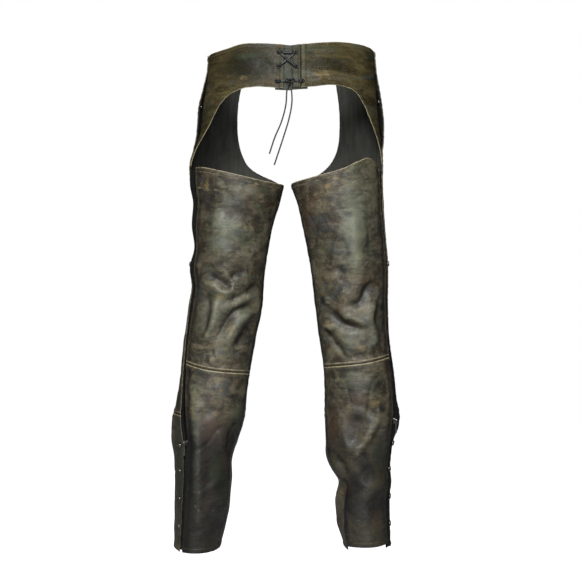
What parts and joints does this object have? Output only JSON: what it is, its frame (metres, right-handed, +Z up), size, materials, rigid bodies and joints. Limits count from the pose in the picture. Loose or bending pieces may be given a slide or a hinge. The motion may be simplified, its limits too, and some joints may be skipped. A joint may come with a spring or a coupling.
{
  "type": "leather chaps",
  "caption": "Distressed leather riding chaps held open as worn, with zipped legs, a laced back yoke, a buckled belt at the front and swinging zip pulls.",
  "frame": {"origin": "middle of the waist opening, halfway up the back yoke, where the wearer's waist holds the chaps", "axes": "+Z up, +X to the wearer's left, -Y to the wearer's front"},
  "size_m": [0.4774, 0.2428, 1.0383],
  "materials": {
    "hide": "semi-gloss rubbed-off cowhide, grey, olive and rust brown, with dark folds and pale edges",
    "hide_yoke": "semi-gloss rubbed-off cowhide, olive and tan with blackish blotches",
    "black_cloth": "black woven zip tape and facing",
    "lace": "thin round black lace",
    "nickel": "worn nickel plate"
  },
  "bodies": {
    "root": {"back_calf_left": "hide", "back_calf_right": "hide", "back_thigh_left": "hide", "back_thigh_right": "hide", "back_yoke_left": "hide_yoke", "back_yoke_right": "hide_yoke", "belt_keeper": "hide", "belt_left": "hide", "belt_right": "hide", "buckle_frame": "nickel", "buckle_prong": "nickel", "eyelet_1": "nickel", "eyelet_2": "nickel", "eyelet_3": "nickel", "eyelet_4": "nickel", "eyelet_5": "nickel", "eyelet_6": "nickel", "front_shin_left": "hide", "front_shin_right": "hide", "front_thigh_left": "hide", "front_thigh_right": "hide", "hip_snap_left": "nickel", "hip_snap_right": "nickel", "lace_cross_over": "lace", "lace_cross_under": "lace", "lace_knot": "lace", "lace_low_left": "lace", "lace_low_right": "lace", "lace_tail_left": "lace", "lace_tail_right": "lace", "lace_top": "lace", "lacing_placket": "hide_yoke", "lacing_tongue": "hide_yoke", "leg_snap_left_1": "nickel", "leg_snap_left_2": "nickel", "leg_snap_left_3": "nickel", "leg_snap_left_4": "nickel", "leg_snap_right_1": "nickel", "leg_snap_right_2": "nickel", "leg_snap_right_3": "nickel", "leg_snap_right_4": "nickel", "pocket_facing_left": "black_cloth", "pocket_facing_right": "black_cloth", "side_rivet_left": "nickel", "side_rivet_right": "nickel", "zip_chain_left": "nickel", "zip_chain_right": "nickel", "zip_slider_left": "nickel", "zip_slider_right": "nickel", "zip_tape_left": "black_cloth", "zip_tape_right": "black_cloth"},
    "pull_left": {"pull_tab_left": "nickel"},
    "pull_right": {"pull_tab_right": "nickel"}
  },
  "joints": [
    {"name": "pull_swing_left", "type": "hinge", "parent": "root", "child": "pull_left", "pos_m": [0.21523, 0.07795, -0.75846], "axis": [0.7422, -0.6701, 0], "range_deg": [0, 150]},
    {"name": "pull_swing_right", "type": "hinge", "parent": "root", "child": "pull_right", "pos_m": [-0.22053, 0.04711, -0.71648], "axis": [0.4998, 0.8662, 0], "range_deg": [0, 150]}
  ]
}
